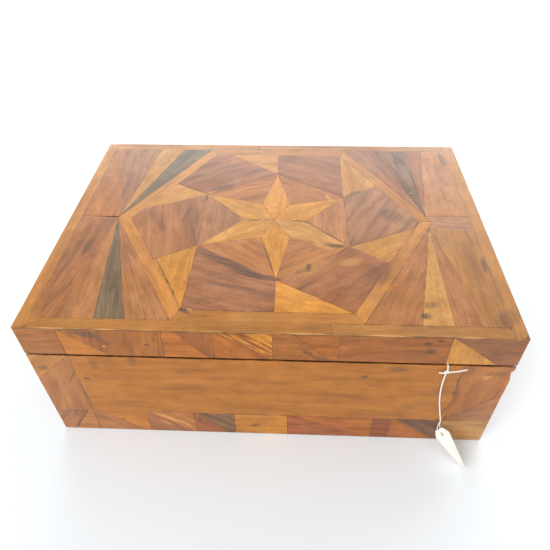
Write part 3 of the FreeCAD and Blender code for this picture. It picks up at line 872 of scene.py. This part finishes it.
def tag_and_string():
    """The string from its stop knot inside the box, out through the gap and down to the card."""
    line = centreline(STRING_ROUTE, 0.25 * MM)
    verts, faces, hollow = joined([cord_mesh(line, strand(STRING_RADIUS, STRING_LAY), (1, 0, 0))])
    string = make_piece(
        "cotton_string", verts, faces, [MATERIALS["cotton"]], "base", "tag_string", [("hollow", hollow)]
    )
    knot = knot_piece("string_knot", KNOT, KNOT_SIZE, [LONG_TAIL, SHORT_TAIL], "tag_knot")
    stop = knot_piece("string_stop_knot", STOP_KNOT, STOP_KNOT_SIZE, [], "tag_stop_knot")
    top = Vector(STRING_ROUTE[-1])
    loop_route = [
        top,
        on_card(-2.0 * MM, 0, 1.6 * MM),
        on_card(HOLE_INSET - 0.6 * MM, 0, 1.0 * MM),
        on_card(HOLE_INSET + 0.2 * MM, 0, -0.2 * MM),
        on_card(HOLE_INSET - 1.4 * MM, 0, -1.2 * MM),
        on_card(-2.4 * MM, 0, -1.8 * MM),
        top + Vector((0.3, 0.2, 0.6)) * MM,
    ]
    loop_line = centreline(loop_route, 0.2 * MM)
    verts, faces, hollow = joined([cord_mesh(loop_line, strand(LOOP_RADIUS, LOOP_LAY), (1, 0, 0))])
    loop = make_piece(
        "string_loop", verts, faces, [MATERIALS["cotton"]], "base", "tag_loop", [("hollow", hollow)]
    )
    card = card_piece()


# ---------------------------------------------------------------- flat pieces

FACES = {
    "top": ((1, 0, 0), (0, 1, 0), (0, 0, 1)),
    "under": ((1, 0, 0), (0, -1, 0), (0, 0, -1)),
    "front": ((1, 0, 0), (0, 0, 1), (0, -1, 0)),
    "back": ((-1, 0, 0), (0, 0, 1), (0, 1, 0)),
    "right": ((0, 1, 0), (0, 0, 1), (1, 0, 0)),
    "left": ((0, -1, 0), (0, 0, 1), (-1, 0, 0)),
}


def solids(node):
    """The separate solids of a CAD node, each as the array of its corner points.

    Their triangles come one solid after another. Each edge, from a to b, counts as a number that changes
    sign when it is walked from b to a, so the running sum comes back to nothing exactly where a closed
    solid ends.
    """
    mesh = NODES[node].data
    co = np.zeros(len(mesh.vertices) * 3)
    mesh.vertices.foreach_get("co", co)
    mesh.calc_loop_triangles()
    tris = np.zeros(len(mesh.loop_triangles) * 3, int)
    mesh.loop_triangles.foreach_get("vertices", tris)
    points, merged = np.unique(np.round(co.reshape(-1, 3), 6), axis=0, return_inverse=True)
    tris = merged.reshape(-1)[tris].reshape(-1, 3)
    first, second = np.random.default_rng(0).random((2, len(points)))
    ahead = np.roll(tris, -1, axis=1)
    walked = (first[tris] * second[ahead] - first[ahead] * second[tris]).sum(axis=1).cumsum()
    ends = np.flatnonzero(np.abs(walked) < 1e-9) + 1
    return [points[np.unique(t)] for t in np.split(tris, ends[:-1])]


def outline(points, u, v, n, outer):
    """One face of a flat piece as its corners in order, counter-clockwise, in the face's own coordinates."""
    height = points @ n
    on_face = height > height.max() - 1e-5 if outer else height < height.min() + 1e-5
    flat = np.column_stack([points[on_face] @ u, points[on_face] @ v])
    middle = flat.mean(axis=0)
    return flat[np.argsort(np.arctan2(*(flat - middle).T[::-1]))]


def shrunk(corners, by):
    """The outline, its corners moved in along their mitres; sharp ones at most four times as far."""
    ahead = np.roll(corners, -1, axis=0) - corners
    ahead /= np.linalg.norm(ahead, axis=1)[:, None]
    inwards = np.column_stack([-ahead[:, 1], ahead[:, 0]])
    before = np.roll(inwards, 1, axis=0)
    mitre = (inwards + before) / np.maximum(1 + (inwards * before).sum(axis=1), 0.06)[:, None]
    mitre *= np.minimum(1, 4 / np.linalg.norm(mitre, axis=1)[:, None])
    return corners + mitre * by[:, None]


def along(corners, counts):
    """Points evenly spaced along each side of the outline, counts[k] of them on side k."""
    side = np.repeat(np.arange(len(corners)), counts)
    first = np.repeat(np.cumsum(counts) - counts, counts)
    share = ((np.arange(len(side)) - first) / counts[side])[:, None]
    return corners[side] * (1 - share) + np.roll(corners, -1, axis=0)[side] * share


def edge_distance(points, corners, widths):
    """How far each point lies from the nearest side of the outline, counted in that side's own width."""
    ahead = np.roll(corners, -1, axis=0) - corners
    ahead /= np.linalg.norm(ahead, axis=1)[:, None]
    offset = points[:, None, :] - corners[None]
    return (np.abs(offset[..., 0] * ahead[:, 1] - offset[..., 1] * ahead[:, 0]) / widths).min(axis=1)


SIDE_STEP = 4 * MM
INNER_RINGS = (0.97, 0.9, 0.78, 0.6, 0.38, 0.18)
WORN_EDGE = 0.10 * MM  # radius that wear has given each veneer's edge
LOW_WAVE = 0.04 * MM  # how far the polished surface is from flat


CHIP = np.array(
    (HALF_WIDTH, -HALF_DEPTH, 94.5 * MM),
)  # middle of the one broken piece of the front right-hand edge
CHIP_REACH, CHIP_DEPTH = 5.5 * MM, 1.7 * MM


def chipped(verts):
    """The chip: points d from its middle go in by depth (1 - (d / reach)^2)^2, shared between x and y."""
    near = np.clip(1 - (np.linalg.norm(verts - CHIP, axis=1) / CHIP_REACH) ** 2, 0, 1) ** 2
    return verts + near[:, None] * CHIP_DEPTH * np.array([-1, 1, 0]) / math.sqrt(2)


def plate(points, face, rng, angle, round_by=WORN_EDGE, gaps=(0.0, 0.03 * MM), wave=LOW_WAVE):
    """One flat piece: rings carried round its outline, up from its glued side, over a rounded edge, in to
    the middle.

    The surface is lowered by wave (1 - sin(95 x + 40 y) sin(85 y - 25 x)) / 2, with x and y in metres on
    the face. Returns vertices, quads and triangles, and for each vertex its grain coordinates and its
    distance from the edge, in widths of the dirt there.
    """
    u, v, n = (np.array(a, float) for a in FACES[face])
    outer = outline(points, u, v, n, True)
    inner = outline(points, u, v, n, False)
    top, bottom = (points @ n).max(), (points @ n).min()
    sides = np.linalg.norm(np.roll(outer, -1, 0) - outer, axis=1)
    counts = np.maximum(2, np.ceil(sides / SIDE_STEP)).astype(int)
    gap = rng.uniform(*gaps, len(outer))
    sunk = rng.uniform(0.0, 0.04) * MM
    middle = outer.mean(axis=0)
    rings = [(along(shrunk(inner, gap), counts), bottom)]
    for turn in np.radians([0, 30, 60, 90]):
        inset = gap + round_by * (1 - math.cos(turn))
        rings.append((along(shrunk(outer, inset), counts), top - sunk - round_by * (1 - math.sin(turn))))
    last = rings[-1][0]
    rings += [(middle + (last - middle) * share, top - sunk) for share in INNER_RINGS]
    flat = np.concatenate([r for r, _ in rings] + [middle[None], middle[None]])
    level = np.concatenate([np.full(len(r), z) for r, z in rings] + [[bottom], [top - sunk]])
    low = np.sin(flat[:, 0] * 95 + flat[:, 1] * 40) * np.sin(flat[:, 1] * 85 - flat[:, 0] * 25)
    level = level + np.where(level > (top + bottom) / 2, (low - 1) / 2 * wave, 0)
    verts = chipped(flat[:, :1] * u + flat[:, 1:] * v + level[:, None] * n)
    m, count = len(last), len(rings)
    quads = grid_faces(count, m, False)
    i = np.arange(m)
    j = (i + 1) % m
    under = np.column_stack([j, i, np.full(m, count * m)])
    crown = np.column_stack([(count - 1) * m + i, (count - 1) * m + j, np.full(m, count * m + 1)])
    c, s = math.cos(angle), math.sin(angle)
    grain = np.column_stack([flat @ [c, s], flat @ [-s, c], np.zeros(len(flat))]) + rng.uniform(-3, 3, 3)
    widths = rng.choice([0.2, 0.32, 0.5, 0.9], len(outer), p=[0.4, 0.3, 0.2, 0.1]) * MM
    return verts, quads, np.concatenate([under, crown]), grain, edge_distance(flat, outer, widths)


def long_axis(points, face):
    """The direction of a piece's length, in its face's coordinates."""
    u, v, n = (np.array(a, float) for a in FACES[face])
    flat = outline(points, u, v, n, True)
    dense = along(flat, np.full(len(flat), 12))
    dense = dense - dense.mean(axis=0)
    vectors = np.linalg.eigh(dense.T @ dense)[1]
    return math.atan2(vectors[1, 1], vectors[0, 1])


def in_order(pieces, face, order):
    """Pieces sorted round the middle of the lid, or from left to right as the face is looked at."""
    u, v, _ = (np.array(a, float) for a in FACES[face])
    middles = [(p @ u, p @ v) for p in (q.mean(axis=0) for q in pieces)]
    if order == "round":
        keys = [math.atan2(b, a) % (2 * math.pi) for a, b in middles]
    else:
        keys = [a for a, _ in middles]
    return [pieces[k] for k in np.argsort(keys)]


def veneer(node, body, face, order, woods, seed):
    """All the pieces of one veneer node, in order; woods lists each one's wood, tone, grain and shellac."""
    rng = np.random.default_rng(seed)
    pieces = in_order(solids(node), face, order)
    assert len(pieces) == len(woods), (node, len(pieces), len(woods))
    kinds = sorted({piece[0] for piece in woods})
    base = 0
    verts, quads, tris, grain, edge, tone, polish, quad_kinds, tri_kinds = ([] for _ in range(9))
    for points, (kind, value, turn, shellac) in zip(pieces, woods):
        angle = long_axis(points, face) if turn is None else math.radians(turn)
        a, q, t, g, e = plate(points, face, rng, angle)
        verts.append(a)
        quads.append(q + base)
        tris.append(t + base)
        grain.append(g)
        edge.append(e)
        tone.append(np.full(len(a), TONES[value]))
        polish.append(np.full(len(a), SHELLAC[shellac]))
        quad_kinds.append(np.full(len(q), kinds.index(kind)))
        tri_kinds.append(np.full(len(t), kinds.index(kind)))
        base += len(a)
    return make_piece(
        node + "_veneer",
        np.concatenate(verts),
        np.concatenate(quads).tolist() + np.concatenate(tris).tolist(),
        [MATERIALS[kind + ("_top" if face == "top" else "_side")] for kind in kinds],
        body,
        node,
        [
            ("grain", np.concatenate(grain)),
            ("edge", np.concatenate(edge)),
            ("tone", np.concatenate(tone)),
            ("varnish", np.concatenate(polish)),
        ],
        np.concatenate(quad_kinds + tri_kinds),
    )


# How light a piece is beside others of its wood, and what is left of its shellac: still orange, honey-
# coloured, bleached by light, or gone cloudy.
TONES = {"deep": 0.85, "plain": 0.95, "light": 1.05, "pale": 1.15}
SHELLAC = {"orange": 0.9, "honey": 0.4, "faded": 0.1, "cloudy": -0.4}

# Woods of the lid's top, round from +X or from left to right: wood, tone, grain direction in degrees (None:
# along the piece) and shellac.
LID_TOP = {
    "lid_star": ("round", [
        ("burr_elm", "light", None, "honey"),
        ("burr_elm", "light", None, "honey"),
        ("burr_elm", "light", None, "faded"),
        ("burr_elm", "plain", None, "faded"),
        ("burr_elm", "light", None, "honey"),
        ("burr_elm", "plain", None, "cloudy"),
    ]),
    "lid_star_ground": ("round", [
        ("elm", "light", 150, "honey"),
        ("cherry", "light", 20, "faded"),
        ("walnut", "pale", 95, "faded"),
        ("cherry", "light", -38, "faded"),
        ("elm", "light", 31, "honey"),
        ("elm", "pale", 92, "faded"),
    ]),
    "lid_light_triangles": ("round", [
        ("satinwood", "plain", None, "honey"),
        ("satinwood", "light", 0, "honey"),
        ("satinwood", "light", None, "faded"),
        ("burr_elm", "plain", 90, "honey"),
        ("burr_elm", "pale", None, "honey"),
        ("satinwood", "plain", None, "honey"),
    ]),
    "lid_dark_quarters": ("round", [
        ("walnut", "light", 60, "faded"),
        ("plum", "light", 150, "honey"),
        ("plum", "pale", 30, "faded"),
        ("walnut", "pale", 100, "honey"),
        ("plum", "light", 165, "faded"),
        ("plum", "light", 40, "honey"),
    ]),
    "lid_hexagon_band": ("round", [
        ("kauri", "plain", None, "honey"),
        ("kauri", "plain", None, "honey"),
        ("kauri", "pale", None, "faded"),
        ("kauri", "pale", None, "honey"),
        ("kauri", "plain", None, "honey"),
        ("kauri", "light", None, "honey"),
    ]),
    "lid_left_fan_back": ("row", [
        ("elm", "light", 90, "honey"),
        ("walnut", "light", None, "faded"),
        ("satinwood", "plain", None, "faded"),
        ("blackwood", "light", None, "honey"),
    ]),
    "lid_left_fan_front": ("row", [
        ("walnut", "light", 80, "honey"),
        ("elm", "light", None, "faded"),
        ("blackwood", "light", None, "honey"),
        ("elm", "light", None, "faded"),
        ("elm", "light", None, "faded"),
    ]),
    "lid_apex_strip": ("row", [
        ("elm", "light", 0, "cloudy"),
    ]),
    "lid_right_fan_back": ("row", [
        ("plum", "light", None, "honey"),
        ("rosewood", "pale", None, "honey"),
        ("plum", "light", None, "honey"),
        ("elm", "pale", 90, "faded"),
    ]),
    "lid_right_fan_front": ("row", [
        ("cherry", "plain", None, "faded"),
        ("burr_elm", "plain", None, "cloudy"),
        ("elm", "light", None, "faded"),
        ("kauri", "deep", 90, "faded"),
    ]),
    "lid_border_strips": ("round", [
        ("kauri", "plain", None, "faded"),
        ("kauri", "deep", None, "faded"),
        ("kauri", "plain", None, "faded"),
        ("kauri", "light", None, "faded"),
        ("kauri", "deep", None, "honey"),
        ("kauri", "deep", None, "faded"),
    ]),
}
# Woods of each side, from left to right, the same way.
LID_FACING = [
    ("walnut", "plain", 0, "orange"),
    ("kauri", "light", 0, "orange"),
    ("elm", "deep", 85, "orange"),
    ("cherry", "plain", 0, "orange"),
    ("plum", "light", 80, "orange"),
    ("cherry", "plain", -38, "orange"),
    ("laburnum", "light", -36, "orange"),
    ("elm", "deep", 0, "orange"),
    ("cherry", "deep", 0, "orange"),
    ("plum", "plain", 5, "orange"),
    ("satinwood", "light", 90, "honey"),
    ("plum", "deep", 0, "honey"),
]
CORNERS = [
    ("kauri", "plain", None, "honey"),
    ("elm", "plain", 90, "honey"),
    ("cherry", "plain", 80, "honey"),
    ("walnut", "light", 20, "honey"),
]
PANEL = [
    ("kauri", "deep", 0, "orange"),
]
FOOT_BAND = [
    ("plum", "light", 60, "honey"),
    ("elm", "pale", 0, "honey"),
    ("elm", "plain", -35, "honey"),
    ("kauri", "light", 0, "orange"),
    ("plum", "pale", -35, "honey"),
    ("cherry", "light", -35, "honey"),
    ("mahogany", "pale", -35, "faded"),
    ("rosewood", "pale", -35, "honey"),
    ("satinwood", "plain", 0, "orange"),
    ("mahogany", "pale", 0, "honey"),
    ("cherry", "plain", 0, "orange"),
    ("mahogany", "deep", 0, "honey"),
    ("cherry", "deep", 0, "orange"),
    ("rosewood", "plain", -40, "honey"),
    ("satinwood", "plain", 0, "cloudy"),
]


def all_veneers():
    """Every veneer of the lid's top and of the four sides."""
    seed = 1
    for node, (order, woods) in LID_TOP.items():
        veneer(node, "lid", "top", order, woods, seed)
        seed += 1
    for face in ("front", "back", "left", "right"):
        for node, body, woods in (
            ("lid_" + face + "_facing", "lid", LID_FACING),
            ("base_" + face + "_panel", "base", PANEL),
            ("base_" + face + "_corners", "base", CORNERS),
            ("base_" + face + "_foot_band", "base", FOOT_BAND),
        ):
            veneer(node, body, face, "row", woods, seed)
            seed += 1


PILE_ROUND = 0.4 * MM


def lining_panel(name, node, body, points, face, rng):
    """A card panel covered with velvet: soft edges, and a surface that isn't quite flat."""
    verts, quads, tris, _, _ = plate(points, face, rng, 0.0, PILE_ROUND, (0.0, 0.05 * MM), 0.12 * MM)
    faces = quads.tolist() + tris.tolist()
    piece = make_piece(name, verts, faces, [MATERIALS["velvet"]], body, node)


def all_linings():
    """The velvet of the base and of the lid: a floor or ceiling panel, and four on the walls."""
    rng = np.random.default_rng(90)
    lining_panel("base_floor_velvet", "base_floor_lining", "base", solids("base_floor_lining")[0], "top", rng)
    lining_panel(
        "lid_ceiling_velvet", "lid_ceiling_lining", "lid", solids("lid_ceiling_lining")[0], "under", rng
    )
    for body in ("base", "lid"):
        node = body + "_wall_lining"
        for points in solids(node):
            x, y, _ = points.mean(axis=0)
            if abs(y) > abs(x):
                wall, face = ("front", "back") if y < 0 else ("back", "front")
            else:
                wall, face = ("left", "right") if x < 0 else ("right", "left")
            lining_panel(body + "_" + wall + "_velvet", node, body, points, face, rng)


def cad_finishes():
    """Finishes of the CAD pieces whose shape is already right: boards, hinges, pins and screws."""
    short_grain = {"base_left_board", "base_right_board", "lid_left_rail", "lid_right_rail"}
    for node, shown in NODES.items():
        kind = record_slot(node)
        if kind == "pine":
            finish = MATERIALS["pine_short" if node in short_grain else "pine_long"]
        elif kind == "brass":
            finish = MATERIALS["brass"]
        else:
            continue
        shown.data.materials.clear()
        shown.data.materials.append(finish)


# ---------------------------------------------------------------- room


def room():
    """A pale table, an even surround, a wide window behind the box and a soft light in front."""
    size = 6.0
    mesh = bpy.data.meshes.new("table")
    mesh.from_pydata(
        [(-size, -size, 0), (size, -size, 0), (size, size, 0), (-size, size, 0)], [], [(0, 1, 2, 3)]
    )
    material, node = new_material("white_laminate")
    shader = node("BsdfPrincipled", {"Base Color": linear("#f5f9fb"), "Roughness": 0.7, "IOR": 1.45})
    node("OutputMaterial", {"Surface": shader})
    mesh.materials.append(material)
    table = bpy.data.objects.new("table", mesh)
    bpy.context.scene.collection.objects.link(table)

    world = bpy.data.worlds.new("surround")
    bpy.context.scene.world = world
    world.use_nodes = True
    world.node_tree.nodes["Background"].inputs["Color"].default_value = (1.0, 1.03, 1.05, 1)
    world.node_tree.nodes["Background"].inputs["Strength"].default_value = 0.57

    for name, at, aim, size_x, size_y, power in (
        ("window", (0.45, 1.65, 0.64), (0.1, 0, 0.2), 4.2, 1.1, 60.0),
        ("softbox", (-0.9, -1.6, 1.5), (0, 0, 0.05), 1.6, 1.2, 36.0),
    ):
        light = bpy.data.lights.new(name, "AREA")
        light.shape = "RECTANGLE"
        light.size, light.size_y = size_x, size_y
        light.energy = power
        light.color = (0.94, 0.975, 1.0)
        lamp = bpy.data.objects.new(name, light)
        lamp.location = at
        lamp.rotation_euler = (Vector(aim) - Vector(at)).to_track_quat("-Z", "Y").to_euler()
        bpy.context.scene.collection.objects.link(lamp)
    bpy.context.scene.view_settings.view_transform = "Standard"


camera()
all_materials()
tag_and_string()
all_linings()
all_veneers()
cad_finishes()
room()
